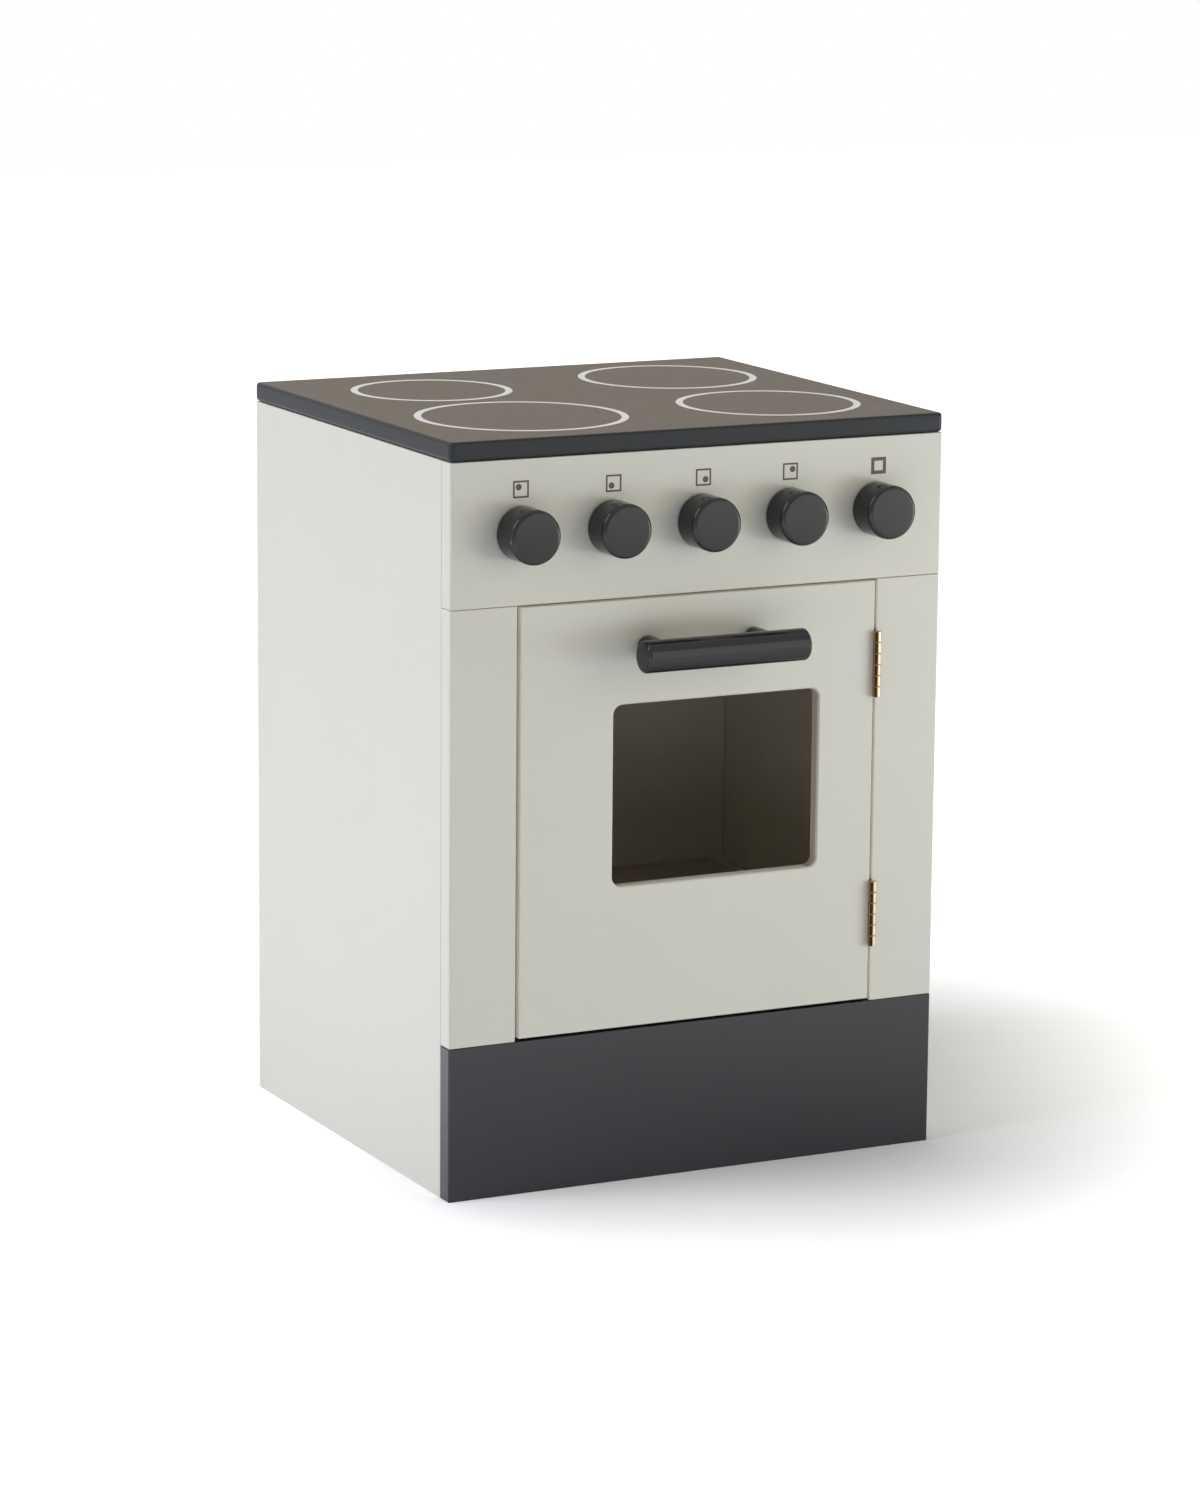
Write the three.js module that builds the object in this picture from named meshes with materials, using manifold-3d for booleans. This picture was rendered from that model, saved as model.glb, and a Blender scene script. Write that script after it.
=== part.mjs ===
// A wooden play cooker: a glued box of painted boards, a hob top, five turning knobs, and an oven
// with a side-hung door that has a bar handle and an open window.
//
// Millimetres. +X is the right of the cooker as a child faces it, +Y its back, +Z up.
// Pieces are laid out from the front plane of the body at y = 0, its middle at x = 0 and the floor
// at z = 0. One group at the end moves them all, so that the origin is under the middle of the whole.

import * as THREE from 'three';
import { RoundedBoxGeometry } from 'three/addons/geometries/RoundedBoxGeometry.js';
import { mergeVertices } from 'three/addons/utils/BufferGeometryUtils.js';
import Module from 'manifold-3d';

const wasm = await Module();
wasm.setup();

// Body of boards
const bodyWidth = 321;
const bodyDepth = 284;
const bodyHeight = 435;
const sideThickness = 12;
const frontThickness = 12;
const backThickness = 9;
const backInset = 28;
const floorThickness = 12;
const ceilingThickness = 12;
const bodyEdge = 1.4;

// Gaps: between two pieces that touch, and how far a cutter runs past what it cuts
const gap = 0.3;
const overrun = 1;

// Hob top
const hobThickness = 11.5;
const hobOverhang = 0.3;
const hobEdge = 2.4;

// Front frame
const plinthHeight = 92;
const panelHeight = 85;
const stileWidth = 42.3;

// Door
const doorThickness = 9;
const doorEdge = 0.8;
const latchGap = 2.5;
const hingeGap = 1.5;
const doorTopGap = 1.3;
const doorBottomGap = 1.7;

// Window in the door
const windowWidth = 135.5;
const windowHeight = 108;
const windowCorner = 6;
const windowEdge = 1.7;
const windowFromHingeSide = 36.7;
const windowFromTop = 62;

// Handle: a bar on two posts, each post glued in a socket of the bar
const barLength = 106.5;
const barRadius = 9.5;
const barEdge = 2;
const barStandoff = 30;
const barFromTop = 28.5;
const postRadius = 6.75;
const postFromEnd = 18.3;
const socketDepth = 6;

// Knobs in a row on the control panel
const knobCount = 5;
const knobRadius = 16;
const knobLength = 20.5;
const knobEdge = 2.5;
const knobFromSide = 44.5;
const knobFromTop = 43;

// Washer behind the panel, on each knob's screw
const washerRadius = 7;
const washerThickness = 1;
const spindleClearance = 0.6;

// Oven shelf on a batten each side
const battenWidth = 18;
const battenThickness = 12;
const battenRise = 33;
const shelfThickness = 3;
const shelfFromSide = 13;
const shelfFromDoor = 12;

// Cleats that hold the hob top
const cleatSection = 15;
const cleatLength = 160;
const cleatScrewFromEnd = 25;

// Butt hinges, with the pin in front of the gap between door and frame
const hingeLength = 40;
const hingeFromTop = 30;
const hingeFromBottom = 33;
const knuckleCount = 6;
const barrelRadius = 2.1;
const barrelProud = 3;
const pinRadius = 0.9;
const pinClearance = 0.25;
const leafThickness = 0.7;
const leafFaceGap = 0.5;
const leafSetback = 1.5;
const hingeScrewFromEnd = 8;

// Magnetic catch behind the door's free edge
const catchHeight = 24;
const catchDepth = 16;
const catchRim = 3;
const magnetRadius = 5;
const magnetLength = 7;
const strikeRadius = 6;
const strikeThickness = 1.2;
const strikeFromEdge = 9;

// Screws: a countersunk head is flush with its seat, and a pan head stands on it
const hingeScrew = { head: 1.9, shank: 0.8, length: 9, tip: 1.5 };
const strikeScrew = { head: 2.4, shank: 1.1, length: 7, tip: 1.8 };
const handleScrew = { head: 4, headHeight: 2.6, shank: 2, length: 26, tip: 3 };
const knobScrew = { head: 4, headHeight: 2.6, shank: 2, length: 26, tip: 3 };
const cleatScrew = { head: 4, headHeight: 2.6, shank: 2, length: 23, tip: 3 };

// Facets of round pieces, by size, and of the rounded edges
const wideFacets = 48;
const barFacets = 32;
const smallFacets = 16;
const edgeFacets = 3;
const cornerFacets = 6;

// Places that several pieces share
const halfWidth = bodyWidth / 2;
const insideRight = halfWidth - sideThickness - gap;
const insideFront = frontThickness + gap;
const backFront = bodyDepth - backInset - backThickness;
const insideBack = backFront - gap;
const frameTop = bodyHeight - panelHeight;
const carcassTop = bodyHeight - gap;

const openingRight = halfWidth - stileWidth;
const doorRight = openingRight - hingeGap;
const doorLeft = -openingRight + latchGap;
const doorBottom = plinthHeight + doorBottomGap;
const doorTop = frameTop - doorTopGap;
const doorMiddle = (doorLeft + doorRight) / 2;

const windowRight = doorRight - windowFromHingeSide;
const windowLeft = windowRight - windowWidth;
const windowTop = doorTop - windowFromTop;
const windowBottom = windowTop - windowHeight;

const handleHeight = doorTop - barFromTop;
const knobHeight = bodyHeight - knobFromTop;
const battenTop = plinthHeight + battenRise;
const hingeX = openingRight - hingeGap / 2;
const leafDepth = doorThickness - leafSetback;
const hingeHeights = {
  hinge_upper: doorTop - hingeFromTop - hingeLength / 2,
  hinge_lower: doorBottom + hingeFromBottom + hingeLength / 2,
};

const catchX = doorLeft + strikeFromEdge;
const catchTop = frameTop - gap;
const catchHeightMiddle = catchTop - catchHeight / 2;
const strikeSeat = doorThickness + gap + strikeThickness;
const magnetFront = strikeSeat + gap;

// Paints and metals
const material = (color, roughness, metalness = 0) =>
  new THREE.MeshStandardMaterial({ color, roughness, metalness });
const bodyPaint = material(0xcfcfc8, 0.5);
const darkPaint = material(0x3d3e42, 0.45);
const brass = material(0xc8a468, 0.35, 1);
const steel = material(0xb4b6b8, 0.35, 1);
const magnetSteel = material(0x8b8d90, 0.3, 1);

// A closed geometry as a solid that can be cut and joined
function solidOf(geometry) {
  const bare = geometry.index ? geometry.toNonIndexed() : geometry.clone();
  bare.deleteAttribute('normal');
  bare.deleteAttribute('uv');
  const merged = mergeVertices(bare, 1e-3);
  const vertProperties = merged.attributes.position.array;
  const triVerts = new Uint32Array(merged.index.array);
  return new wasm.Manifold(new wasm.Mesh({ numProp: 3, vertProperties, triVerts }));
}

function geometryOf(solid) {
  const { vertProperties, triVerts } = solid.getMesh();
  const geometry = new THREE.BufferGeometry();
  geometry.setAttribute('position', new THREE.BufferAttribute(vertProperties, 3));
  geometry.setIndex(new THREE.BufferAttribute(triVerts, 1));
  const faceted = geometry.toNonIndexed();
  faceted.computeVertexNormals();
  return faceted;
}

function cut(geometry, cutters) {
  const solid = cutters.reduce((rest, cutter) => rest.subtract(solidOf(cutter)), solidOf(geometry));
  return geometryOf(solid);
}

function join(geometries) {
  const [first, ...others] = geometries.map(solidOf);
  return others.reduce((whole, other) => whole.add(other), first);
}

// A block between two corners
function block([x0, y0, z0], [x1, y1, z1]) {
  const geometry = new THREE.BoxGeometry(x1 - x0, y1 - y0, z1 - z0);
  return geometry.translate((x0 + x1) / 2, (y0 + y1) / 2, (z0 + z1) / 2);
}

// Points of a quarter round about the given centre
function quarter(centreX, centreY, radius, start, facets = edgeFacets) {
  return Array.from({ length: facets + 1 }, (_, step) => {
    const angle = start + (step / facets) * (Math.PI / 2);
    return [centreX + radius * Math.cos(angle), centreY + radius * Math.sin(angle)];
  });
}

// A rectangle's outline with its own radius at each corner, from low x and y round anticlockwise
function rectangle([x0, y0], [x1, y1], radii, facets = edgeFacets) {
  const corners = [
    { x: x0, y: y0, inX: 1, inY: 1, start: -Math.PI },
    { x: x1, y: y0, inX: -1, inY: 1, start: -Math.PI / 2 },
    { x: x1, y: y1, inX: -1, inY: -1, start: 0 },
    { x: x0, y: y1, inX: 1, inY: -1, start: Math.PI / 2 },
  ];
  return corners.flatMap(({ x, y, inX, inY, start }, corner) => {
    const radius = radii[corner];
    if (radius === 0) return [new THREE.Vector2(x, y)];
    const centreX = x + inX * radius;
    const centreY = y + inY * radius;
    const points = quarter(centreX, centreY, radius, start, facets);
    return points.map(([pointX, pointY]) => new THREE.Vector2(pointX, pointY));
  });
}

// An upright board: its plan outline, drawn up from its bottom to its top
function uprightBoard([x0, y0, z0], [x1, y1, z1], radii) {
  const outline = new THREE.Shape(rectangle([x0, y0], [x1, y1], radii));
  const options = { depth: z1 - z0, bevelEnabled: false };
  return new THREE.ExtrudeGeometry(outline, options).translate(0, 0, z0);
}

// A board seen from the front, with its edges eased all round by the given radius
function frontBoard(outline, y0, thickness, edge) {
  const options = {
    depth: thickness - 2 * edge,
    bevelThickness: edge,
    bevelSize: edge,
    bevelOffset: -edge,
    bevelSegments: edgeFacets,
  };
  const geometry = new THREE.ExtrudeGeometry(outline, options);
  return geometry.rotateX(Math.PI / 2).translate(0, y0 + thickness - edge, 0);
}

// A turned piece about the Y axis; the profile runs anticlockwise and starts and ends on the axis
function turned(profile, facets) {
  return new THREE.LatheGeometry(profile.map(([r, y]) => new THREE.Vector2(r, y)), facets);
}

// A round hole or pin along Y between two heights
function roundY(radius, y0, y1, x, z, facets = smallFacets) {
  const geometry = new THREE.CylinderGeometry(radius, radius, y1 - y0, facets);
  return geometry.translate(x, (y0 + y1) / 2, z);
}

// A screw whose head seats at y = 0 and whose shank runs down; grow widens it to a clearance hole
function countersunk({ head, shank, length, tip }, grow = 0, rise = 0) {
  const cone = head - shank;
  const top = rise > 0 ? [[head + grow, rise]] : [];
  const flank = [[shank + grow, tip - length], [shank + grow, -cone], [head + grow, 0]];
  return turned([[0, -length - grow], ...flank, ...top, [0, rise]], smallFacets);
}

function panHead({ head, headHeight, shank, length, tip }) {
  const shoulder = headHeight / 2;
  const underHead = [[shank, tip - length], [shank, 0], [head, 0]];
  const crown = [[head, shoulder], [head - shoulder, headHeight]];
  return turned([[0, -length], ...underHead, ...crown, [0, headHeight]], smallFacets);
}

// Groups: one for the fixed body, one for the door and one for each knob
const cooker = new THREE.Group();
const cabinet = new THREE.Group();
const door = new THREE.Group();
cooker.add(cabinet, door);

function place(parent, name, geometry, look, position = [0, 0, 0], rotation = [0, 0, 0]) {
  const mesh = new THREE.Mesh(geometry, look);
  mesh.name = name;
  mesh.position.set(...position);
  mesh.rotation.set(...rotation);
  parent.add(mesh);
}

// Turns that lay a piece drawn along +Y on another way
const towardsFront = [Math.PI, 0, 0];
const towardsRight = [0, 0, -Math.PI / 2];
const towardsLeft = [0, 0, Math.PI / 2];
const downwards = [-Math.PI / 2, 0, 0];

// Where each screw of the knobs, the handle, the cleats and the hinges stands
const knobPitch = (bodyWidth - 2 * knobFromSide) / (knobCount - 1);
const knobs = Array.from({ length: knobCount }, (_, index) => ({
  name: `knob_${index + 1}`,
  x: -halfWidth + knobFromSide + index * knobPitch,
}));
const postReach = barLength / 2 - postFromEnd;
const posts = [
  { side: 'left', x: doorMiddle - postReach },
  { side: 'right', x: doorMiddle + postReach },
];
const cleats = [
  { side: 'left', sign: -1 },
  { side: 'right', sign: 1 },
];
const cleatMiddleX = insideRight - cleatSection / 2;
const cleatMiddleY = (insideFront + insideBack) / 2;
const cleatScrewReach = cleatLength / 2 - cleatScrewFromEnd;
const cleatScrewYs = [cleatMiddleY - cleatScrewReach, cleatMiddleY + cleatScrewReach];
const cleatBottom = carcassTop - cleatSection;
const hingeScrewRise = hingeLength / 2 - hingeScrewFromEnd;
const hingeScrewRises = [-hingeScrewRise, hingeScrewRise];

function addSidePanels() {
  const back = bodyDepth;
  const outer = halfWidth;
  const inner = halfWidth - sideThickness;
  const left = uprightBoard([-outer, insideFront, 0], [-inner, back, carcassTop], [0, 0, 0, bodyEdge]);
  const right = uprightBoard([inner, insideFront, 0], [outer, back, carcassTop], [0, 0, bodyEdge, 0]);
  place(cabinet, 'side_panel_left', left, bodyPaint);
  place(cabinet, 'side_panel_right', right, bodyPaint);
}

function addInnerBoards() {
  const side = insideRight;
  const front = insideFront;
  const ceilingTop = frameTop + ceilingThickness;
  const back = block([-side, backFront, 0], [side, backFront + backThickness, carcassTop]);
  const floor = block([-side, front, plinthHeight - floorThickness], [side, insideBack, plinthHeight]);
  const ceiling = block([-side, front, frameTop], [side, insideBack, ceilingTop]);
  place(cabinet, 'back_panel', back, bodyPaint);
  place(cabinet, 'oven_floor', floor, bodyPaint);
  place(cabinet, 'oven_ceiling', ceiling, bodyPaint);
}

function addHobTop() {
  const width = bodyWidth + 2 * hobOverhang;
  const depth = bodyDepth + 2 * hobOverhang;
  const slab = new RoundedBoxGeometry(width, depth, hobThickness, 2, hobEdge);
  slab.translate(0, bodyDepth / 2, bodyHeight + hobThickness / 2);
  const reach = cleatBottom + cleatScrew.length + gap;
  const pilots = cleats.flatMap(({ sign }) => cleatScrewYs.map((y) => {
    const pilot = roundY(cleatScrew.shank + gap, 0, reach - bodyHeight + overrun, 0, 0);
    return pilot.rotateX(Math.PI / 2).translate(sign * cleatMiddleX, y, bodyHeight - overrun);
  }));
  place(cabinet, 'hob_top', cut(slab, pilots), darkPaint);
}

function addFrontBoards() {
  const side = halfWidth;
  const back = frontThickness;
  const inner = openingRight;
  const roundFront = [bodyEdge, bodyEdge, 0, 0];
  const panel = uprightBoard([-side, 0, frameTop], [side, back, carcassTop], roundFront);
  const holeRadius = knobScrew.shank + spindleClearance;
  const holes = knobs.map(({ x }) => roundY(holeRadius, -overrun, back + overrun, x, knobHeight));
  place(cabinet, 'control_panel', cut(panel, holes), bodyPaint);

  const foot = uprightBoard([-side, 0, 0], [side, back, plinthHeight], roundFront);
  place(cabinet, 'plinth_board', foot, darkPaint);

  const low = plinthHeight + gap;
  const high = frameTop - gap;
  const left = uprightBoard([-side, 0, low], [-inner, back, high], [bodyEdge, doorEdge, 0, 0]);
  const right = uprightBoard([inner, 0, low], [side, back, high], [doorEdge, bodyEdge, 0, 0]);
  place(cabinet, 'front_stile_left', left, bodyPaint);
  place(cabinet, 'front_stile_right', cut(right, hingeCutters(1)), bodyPaint);
}

// Pockets and screw holes that the leaves on one side of the gap need in the board beside them
function hingeCutters(side) {
  const nearX = hingeX + (side * hingeGap) / 2;
  const farX = hingeX + side * (leafFaceGap / 2 + leafThickness + gap);
  const low = Math.min(nearX - side * overrun, farX);
  const high = Math.max(nearX - side * overrun, farX);
  return Object.values(hingeHeights).flatMap((z) => {
    const half = hingeLength / 2 + gap;
    const pocket = block([low, -overrun, z - half], [high, leafDepth + gap, z + half]);
    const pilots = hingeScrewRises.map((rise) => {
      const pilot = countersunk(hingeScrew, gap, leafFaceGap);
      const turn = side > 0 ? Math.PI / 2 : -Math.PI / 2;
      const seat = hingeX + (side * leafFaceGap) / 2;
      return pilot.rotateZ(turn).translate(seat, doorThickness / 2, z + rise);
    });
    return [pocket, ...pilots];
  });
}

function addShelf() {
  const shelfX = halfWidth - sideThickness - shelfFromSide;
  const shelfY = [frontThickness + shelfFromDoor, insideBack];
  for (const { side, sign } of cleats) {
    const edges = [sign * insideRight, sign * (insideRight - battenWidth)];
    const low = [Math.min(...edges), insideFront, battenTop - battenThickness];
    const high = [Math.max(...edges), insideBack, battenTop];
    place(cabinet, `shelf_batten_${side}`, block(low, high), bodyPaint);
  }
  const bottom = battenTop + gap;
  const shelf = block([-shelfX, shelfY[0], bottom], [shelfX, shelfY[1], bottom + shelfThickness]);
  place(cabinet, 'oven_shelf', shelf, bodyPaint);
}

function addCleats() {
  for (const { side, sign } of cleats) {
    const x = sign * cleatMiddleX;
    const half = [cleatSection / 2, cleatLength / 2];
    const low = [x - half[0], cleatMiddleY - half[1], cleatBottom];
    const high = [x + half[0], cleatMiddleY + half[1], carcassTop];
    const holes = cleatScrewYs.map((y) => {
      const hole = roundY(cleatScrew.shank + gap, -overrun, cleatSection + overrun, 0, 0);
      return hole.rotateX(Math.PI / 2).translate(x, y, cleatBottom);
    });
    place(cabinet, `top_cleat_${side}`, cut(block(low, high), holes), bodyPaint);
    cleatScrewYs.forEach((y, index) => {
      const name = `top_cleat_${side}_screw_${index + 1}`;
      place(cabinet, name, panHead(cleatScrew), steel, [x, y, cleatBottom - gap], downwards);
    });
  }
}

function addDoorPanel() {
  const square = [0, 0, 0, 0];
  const round = [windowCorner, windowCorner, windowCorner, windowCorner];
  const blank = rectangle([doorLeft, doorBottom], [doorRight, doorTop], square);
  const past = overrun + windowEdge;
  const outer = [
    [doorLeft - past, doorBottom - past],
    [doorRight + past, doorTop + past],
  ];
  const hole = rectangle([windowLeft, windowBottom], [windowRight, windowTop], round, cornerFacets);
  const rim = new THREE.Shape(rectangle(...outer, square));
  rim.holes.push(new THREE.Path(hole));
  const board = solidOf(frontBoard(new THREE.Shape(blank), 0, doorThickness, doorEdge));
  const window = solidOf(frontBoard(rim, 0, doorThickness, windowEdge));

  const handleHoles = posts.map(({ x }) => {
    const radius = handleScrew.shank + gap;
    return roundY(radius, -overrun, doorThickness + overrun, x, handleHeight);
  });
  const strikePilot = countersunk(strikeScrew, gap, overrun);
  strikePilot.translate(catchX, strikeSeat, catchHeightMiddle);
  const cutters = [...hingeCutters(-1), ...handleHoles, strikePilot];
  place(door, 'door_panel', cut(geometryOf(board.intersect(window)), cutters), bodyPaint);
}

// The bar's geometry lies along X with its middle at the origin; its sockets open to the door
function addHandle() {
  const half = barLength / 2;
  const inner = barRadius - barEdge;
  const bar = turned([
    [0, -half],
    ...quarter(inner, barEdge - half, barEdge, -Math.PI / 2),
    ...quarter(inner, half - barEdge, barEdge, 0),
    [0, half],
  ], barFacets).rotateZ(-Math.PI / 2);
  const socketFloor = barRadius - socketDepth;
  const sockets = posts.map(({ x }) => (
    roundY(postRadius + gap, socketFloor, barRadius + overrun, x - doorMiddle, 0, barFacets)
  ));
  const barPlace = [doorMiddle, -barStandoff, handleHeight];
  place(door, 'handle_bar', cut(bar, sockets), darkPaint, barPlace);

  const postLength = barStandoff - socketFloor - 2 * gap;
  const holeRadius = handleScrew.shank + gap;
  const holeDepth = handleScrew.length - doorThickness - gap;
  for (const { side, x } of posts) {
    const post = turned([
      [0, holeDepth],
      [holeRadius, holeDepth],
      [holeRadius, 0],
      [postRadius, 0],
      [postRadius, postLength],
      [0, postLength],
    ], barFacets);
    place(door, `handle_post_${side}`, post, darkPaint, [x, -gap, handleHeight], towardsFront);
    const seat = [x, doorThickness + gap, handleHeight];
    place(door, `handle_screw_${side}`, panHead(handleScrew), steel, seat);
  }
}

// One leaf about the pin's axis: a plate in the gap and every second knuckle of the barrel
function hingeLeaf(side, firstKnuckle) {
  const xs = [side * (leafFaceGap / 2), side * (leafFaceGap / 2 + leafThickness)];
  const [lowX, highX] = [Math.min(...xs), Math.max(...xs)];
  const half = hingeLength / 2;
  const plateY = barrelRadius + gap;
  const plate = block([lowX, plateY, -half], [highX, barrelProud + leafDepth, half]);
  const pitch = hingeLength / knuckleCount;
  const pieces = [plate];
  for (let index = firstKnuckle; index < knuckleCount; index += 2) {
    const low = -half + index * pitch + gap / 2;
    const high = low + pitch - gap;
    const knuckle = roundY(barrelRadius, low, high, 0, 0, barFacets).rotateX(Math.PI / 2);
    pieces.push(knuckle, block([lowX, 0, low], [highX, plateY + gap, high]));
  }
  const reach = half + overrun;
  const bore = roundY(pinRadius + pinClearance, -reach, reach, 0, 0).rotateX(Math.PI / 2);
  const screws = hingeScrewRises.map((rise) => {
    const turn = side > 0 ? Math.PI / 2 : -Math.PI / 2;
    const screw = countersunk(hingeScrew, gap, leafFaceGap);
    return screw.rotateZ(turn).translate(side * leafFaceGap / 2, barrelProud + doorThickness / 2, rise);
  });
  return cut(geometryOf(join(pieces)), [bore, ...screws]);
}

function addHinges() {
  const leaves = [
    { word: 'frame', side: 1, parent: cabinet, firstKnuckle: 1, turn: towardsLeft },
    { word: 'door', side: -1, parent: door, firstKnuckle: 0, turn: towardsRight },
  ];
  for (const [hinge, z] of Object.entries(hingeHeights)) {
    const axis = [hingeX, -barrelProud, z];
    for (const { word, side, parent, firstKnuckle, turn } of leaves) {
      place(parent, `${hinge}_${word}_leaf`, hingeLeaf(side, firstKnuckle), brass, axis);
      hingeScrewRises.forEach((rise, index) => {
        const seat = [hingeX + (side * leafFaceGap) / 2, doorThickness / 2, z + rise];
        const name = `${hinge}_${word}_screw_${index + 1}`;
        place(parent, name, countersunk(hingeScrew), brass, seat, turn);
      });
    }
    const pin = new THREE.CylinderGeometry(pinRadius, pinRadius, hingeLength, smallFacets);
    place(cabinet, `${hinge}_pin`, pin, brass, axis, downwards);
  }
}

// The magnet sits in a block behind the door's free edge and meets a steel disc on the door
function addCatch() {
  const reach = magnetRadius + gap + catchRim;
  const left = -openingRight - reach;
  const right = catchX + reach;
  const body = block([left, insideFront, catchTop - catchHeight], [right, insideFront + catchDepth, catchTop]);
  const boreEnd = magnetFront + magnetLength + gap;
  const bore = roundY(magnetRadius + gap, -overrun, boreEnd, catchX, catchHeightMiddle, barFacets);
  place(cabinet, 'catch_block', cut(body, [bore]), bodyPaint);

  const magnet = new THREE.CylinderGeometry(magnetRadius, magnetRadius, magnetLength, barFacets);
  const magnetPlace = [catchX, magnetFront + magnetLength / 2, catchHeightMiddle];
  place(cabinet, 'catch_magnet', magnet, magnetSteel, magnetPlace);

  const strikePlace = [catchX, strikeSeat - strikeThickness / 2, catchHeightMiddle];
  const disc = new THREE.CylinderGeometry(strikeRadius, strikeRadius, strikeThickness, barFacets);
  const hole = countersunk(strikeScrew, gap, overrun).translate(0, strikeThickness / 2, 0);
  place(door, 'strike_plate', cut(disc, [hole]), steel, strikePlace);
  place(door, 'strike_screw', countersunk(strikeScrew), steel, [catchX, strikeSeat, catchHeightMiddle]);
}

function addKnobs() {
  const seatY = frontThickness + gap + washerThickness + gap;
  const holeRadius = knobScrew.shank + gap;
  const holeDepth = knobScrew.length - seatY;
  for (const { name, x } of knobs) {
    const group = new THREE.Group();
    group.position.set(x, 0, knobHeight);
    const knob = turned([
      [0, holeDepth],
      [holeRadius, holeDepth],
      [holeRadius, 0],
      ...quarter(knobRadius - bodyEdge, bodyEdge, bodyEdge, -Math.PI / 2),
      ...quarter(knobRadius - knobEdge, knobLength - knobEdge, knobEdge, 0),
      [0, knobLength],
    ], wideFacets);
    place(group, name, knob, darkPaint, [0, -gap, 0], towardsFront);
    const ring = new THREE.CylinderGeometry(washerRadius, washerRadius, washerThickness, barFacets);
    const washer = cut(ring, [roundY(holeRadius, -washerThickness, washerThickness, 0, 0)]);
    const washerPlace = [0, frontThickness + gap + washerThickness / 2, 0];
    place(group, `${name}_washer`, washer, steel, washerPlace);
    place(group, `${name}_screw`, panHead(knobScrew), steel, [0, seatY, 0]);
    cooker.add(group);
  }
}

addSidePanels();
addInnerBoards();
addHobTop();
addFrontBoards();
addShelf();
addCleats();
addDoorPanel();
addHandle();
addHinges();
addCatch();
addKnobs();

// The handle's front and the hob top's back edge bound the whole from front to back
const frontReach = barStandoff + barRadius;
const backReach = bodyDepth + hobOverhang;
cooker.position.y = (frontReach - backReach) / 2;

export default cooker;
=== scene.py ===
import math

import bmesh
import bpy
from mathutils import Matrix, Vector

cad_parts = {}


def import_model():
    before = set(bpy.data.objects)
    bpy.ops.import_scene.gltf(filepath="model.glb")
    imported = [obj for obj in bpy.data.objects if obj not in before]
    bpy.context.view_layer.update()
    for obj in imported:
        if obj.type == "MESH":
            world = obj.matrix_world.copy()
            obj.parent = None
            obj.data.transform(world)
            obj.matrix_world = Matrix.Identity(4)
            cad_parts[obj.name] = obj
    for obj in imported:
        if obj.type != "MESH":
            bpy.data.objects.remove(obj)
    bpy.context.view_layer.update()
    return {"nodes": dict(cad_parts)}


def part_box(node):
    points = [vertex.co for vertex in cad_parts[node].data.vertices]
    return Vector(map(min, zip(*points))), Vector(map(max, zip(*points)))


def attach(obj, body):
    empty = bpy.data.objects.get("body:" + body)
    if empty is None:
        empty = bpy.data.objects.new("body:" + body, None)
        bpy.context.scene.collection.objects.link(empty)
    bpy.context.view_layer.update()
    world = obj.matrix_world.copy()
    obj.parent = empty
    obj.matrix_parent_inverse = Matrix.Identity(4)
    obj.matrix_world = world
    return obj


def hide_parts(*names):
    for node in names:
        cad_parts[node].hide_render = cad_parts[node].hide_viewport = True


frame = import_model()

# Lengths are in metres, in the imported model's frame. The body's front plane is the plinth's face.
MM = 0.001
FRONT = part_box("plinth_board")[0].y
CABINET = "cabinet"
DOOR = "door"
SIDES = ("left", "right")
HINGES = ("upper", "lower")
KNOBS = range(1, 6)

# Edge radii of the pieces
HOB_EDGE = 2.2 * MM
HOB_CORNER = 3.0 * MM
CORNER_EDGE = 1.4 * MM
EASED_EDGE = 0.5 * MM
SOFT_EDGE = 0.8 * MM
WINDOW_EDGE = 1.75 * MM
DOOR_CORNER = 0.4 * MM

# Sides that stand for a circle: knobs and bar, posts and catch, screws and hinges, hob rings, dots
TURNED_FACETS = 96
POST_FACETS = 64
SMALL_FACETS = 40
RING_FACETS = 160
DOT_FACETS = 48

# Flat print stands this far off its board, and the hob is lowered by as much under its rings
PRINT_HEIGHT = 0.06 * MM

# Hob rings: name, centre x and y behind the front plane, outer radius, in millimetres
RINGS = [
    ("rear_left", -77.2, 207.4, 49.1),
    ("front_left", -76.1, 83.6, 63.1),
    ("rear_right", 83.4, 207.3, 55.4),
    ("front_right", 84.8, 77.8, 55.4),
]
RING_WIDTH = 4.3 * MM

# Icons above the knobs: each one's sideways shift from its knob's middle, and its dot's place, from
# -1 to 1 across and up the square. The one without a dot has the heavy line.
ICON_SIZE = 10.0 * MM
ICON_LINE = 1.05 * MM
ICON_HEAVY_LINE = 2.1 * MM
ICON_DOT = 1.85 * MM
ICON_RISE = 25.3 * MM
ICON_SHIFTS = [-0.3 * MM, 0.8 * MM, 1.0 * MM, 0.3 * MM, 1.4 * MM]
ICON_DOTS = [(-0.28, 0.26), (-0.28, -0.26), (0.28, -0.26), (0.28, 0.26), None]

# Knobs, with the radii of their own bores and of the panel's holes for their screws
KNOB_RIM = 2.6 * MM
KNOB_BACK_EDGE = 1.2 * MM
KNOB_BORE = 2.3 * MM
KNOB_BORE_DEPTH = 12.7 * MM
SPINDLE_HOLE = 2.6 * MM

# A cutter for a hole reaches this far, past any board
DRILL_REACH = 20 * MM

# Door window, with its gaps to the door's hinge side and top
WINDOW_WIDTH = 135.5 * MM
WINDOW_HEIGHT = 108 * MM
WINDOW_CORNER = 6 * MM
WINDOW_FROM_HINGE = 36.7 * MM
WINDOW_FROM_TOP = 62 * MM
CORNER_STEPS = 8

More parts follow.
